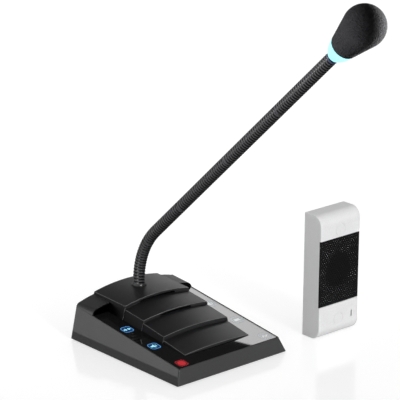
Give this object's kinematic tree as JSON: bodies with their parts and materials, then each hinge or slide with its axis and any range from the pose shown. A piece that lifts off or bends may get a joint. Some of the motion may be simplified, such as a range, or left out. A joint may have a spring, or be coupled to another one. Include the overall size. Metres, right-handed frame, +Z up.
{
  "type": "teller window intercom",
  "caption": "Desk intercom console with backlit keys, tiered speaker cover and gooseneck microphone, with a separate customer speaker panel.",
  "frame": {"origin": "on the desk, midway between the console's four feet", "axes": "+X is the operator's right, +Y from the console's front edge to its rear, +Z up"},
  "size_m": [0.195, 0.2836, 0.3226],
  "materials": {
    "case_plastic": "satin dark grey",
    "overlay_gloss": "gloss black",
    "cover_plastic": "satin charcoal",
    "key_plastic": "gloss black, lit from below",
    "rubber_black": "matt",
    "screw_steel": "plated",
    "board_laminate": "green solder resist",
    "switch_plastic": "matt",
    "speaker_steel": "black",
    "speaker_paper": "doped paper",
    "magnet_iron": "bare ferrite",
    "socket_plastic": "matt black",
    "terminal_plastic": "matt green",
    "neck_metal": "satin black",
    "nut_brass": "plated",
    "sleeve_metal": "black",
    "ring_diffuser": "translucent, lit from inside",
    "capsule_metal": "bare",
    "foam_black": "open-cell foam",
    "panel_shell": "silver, fine grain",
    "panel_grille_metal": "satin black",
    "panel_back_plastic": "matt"
  },
  "bodies": {
    "console": {"upper_housing": "case_plastic", "base_cover": "case_plastic", "key_overlay": "overlay_gloss", "speaker_cover": "cover_plastic", "rubber_feet": "rubber_black", "case_screws": "screw_steel", "cover_screws": "screw_steel", "board_screws": "screw_steel", "speaker_screws": "screw_steel", "rear_board_screws": "screw_steel", "panel_back_screws": "screw_steel", "panel_board_screws": "screw_steel", "main_circuit_board": "board_laminate", "rear_circuit_board": "board_laminate", "panel_circuit_board": "board_laminate", "key_switches": "switch_plastic", "speaker_frame": "speaker_steel", "panel_speaker_frame": "speaker_steel", "speaker_cone": "speaker_paper", "panel_speaker_cone": "speaker_paper", "speaker_magnet": "magnet_iron", "panel_speaker_magnet": "magnet_iron", "headset_jack": "socket_plastic", "power_jack": "socket_plastic", "line_socket": "socket_plastic", "panel_terminal_block": "terminal_plastic", "gooseneck_collar": "neck_metal", "gooseneck_nut": "nut_brass", "panel_housing": "panel_shell", "panel_grille": "panel_grille_metal", "panel_back_plate": "panel_back_plastic", "panel_screw_plugs": "panel_shell", "panel_microphone": "capsule_metal", "panel_microphone_boot": "rubber_black", "panel_cable_grommet": "rubber_black", "gooseneck_section_0": "neck_metal"},
    "neck_1": {"gooseneck_section_1": "neck_metal"},
    "neck_2": {"gooseneck_section_2": "neck_metal"},
    "neck_3": {"gooseneck_section_3": "neck_metal"},
    "neck_4": {"gooseneck_section_4": "neck_metal"},
    "neck_5": {"gooseneck_section_5": "neck_metal"},
    "neck_6": {"gooseneck_section_6": "neck_metal"},
    "neck_7": {"gooseneck_section_7": "neck_metal"},
    "neck_8": {"gooseneck_section_8": "neck_metal", "microphone_sleeve": "sleeve_metal", "light_ring": "ring_diffuser", "ring_led_board": "board_laminate", "capsule_holder": "rubber_black", "microphone_capsule": "capsule_metal", "foam_windscreen": "foam_black"},
    "key_front_left": {"key_front_left": "key_plastic"},
    "key_front_right": {"key_front_right": "key_plastic"},
    "key_middle_left": {"key_middle_left": "key_plastic"},
    "key_middle_right": {"key_middle_right": "key_plastic"},
    "key_rear_left": {"key_rear_left": "key_plastic"},
    "key_rear_right": {"key_rear_right": "key_plastic"}
  },
  "joints": [
    {"name": "neck_1_fore_aft", "type": "hinge", "parent": "console", "child": "neck_1", "pos_m": [0, 0.04569, 0.06266], "axis": [1, 0, 0], "range_deg": [-15, 15]},
    {"name": "neck_2_sideways", "type": "hinge", "parent": "neck_1", "child": "neck_2", "pos_m": [0, 0.02466, 0.09352], "axis": [0, 0.6865, 0.7272], "range_deg": [-15, 15]},
    {"name": "neck_3_fore_aft", "type": "hinge", "parent": "neck_2", "child": "neck_3", "pos_m": [0, -0.00284, 0.11948], "axis": [1, 0, 0], "range_deg": [-15, 15]},
    {"name": "neck_4_sideways", "type": "hinge", "parent": "neck_3", "child": "neck_4", "pos_m": [0, -0.03034, 0.14544], "axis": [0, 0.6865, 0.7272], "range_deg": [-15, 15]},
    {"name": "neck_5_fore_aft", "type": "hinge", "parent": "neck_4", "child": "neck_5", "pos_m": [0, -0.05784, 0.17141], "axis": [1, 0, 0], "range_deg": [-15, 15]},
    {"name": "neck_6_sideways", "type": "hinge", "parent": "neck_5", "child": "neck_6", "pos_m": [0, -0.08534, 0.19737], "axis": [0, 0.6865, 0.7272], "range_deg": [-15, 15]},
    {"name": "neck_7_fore_aft", "type": "hinge", "parent": "neck_6", "child": "neck_7", "pos_m": [0, -0.11284, 0.22333], "axis": [1, 0, 0], "range_deg": [-15, 15]},
    {"name": "neck_8_sideways", "type": "hinge", "parent": "neck_7", "child": "neck_8", "pos_m": [0, -0.14034, 0.24929], "axis": [0, 0.6865, 0.7272], "range_deg": [-15, 15]},
    {"name": "key_front_left_press", "type": "slide", "parent": "console", "child": "key_front_left", "axis": [0, 0.1193, -0.9929], "range_m": [0, 0.0005], "stiffness_N_per_m": 1500, "springref_m": -0.0005},
    {"name": "key_front_right_press", "type": "slide", "parent": "console", "child": "key_front_right", "axis": [0, 0.1193, -0.9929], "range_m": [0, 0.0005], "stiffness_N_per_m": 1500, "springref_m": -0.0005},
    {"name": "key_middle_left_press", "type": "slide", "parent": "console", "child": "key_middle_left", "axis": [0, 0.1193, -0.9929], "range_m": [0, 0.0005], "stiffness_N_per_m": 1500, "springref_m": -0.0005},
    {"name": "key_middle_right_press", "type": "slide", "parent": "console", "child": "key_middle_right", "axis": [0, 0.1193, -0.9929], "range_m": [0, 0.0005], "stiffness_N_per_m": 1500, "springref_m": -0.0005},
    {"name": "key_rear_left_press", "type": "slide", "parent": "console", "child": "key_rear_left", "axis": [0, 0.1193, -0.9929], "range_m": [0, 0.0005], "stiffness_N_per_m": 1500, "springref_m": -0.0005},
    {"name": "key_rear_right_press", "type": "slide", "parent": "console", "child": "key_rear_right", "axis": [0, 0.1193, -0.9929], "range_m": [0, 0.0005], "stiffness_N_per_m": 1500, "springref_m": -0.0005}
  ],
  "couplings": [
    {"joint": "neck_3_fore_aft", "follows": "neck_1_fore_aft", "ratio": 1},
    {"joint": "neck_5_fore_aft", "follows": "neck_1_fore_aft", "ratio": 1},
    {"joint": "neck_7_fore_aft", "follows": "neck_1_fore_aft", "ratio": 1},
    {"joint": "neck_4_sideways", "follows": "neck_2_sideways", "ratio": 1},
    {"joint": "neck_6_sideways", "follows": "neck_2_sideways", "ratio": 1},
    {"joint": "neck_8_sideways", "follows": "neck_2_sideways", "ratio": 1}
  ]
}
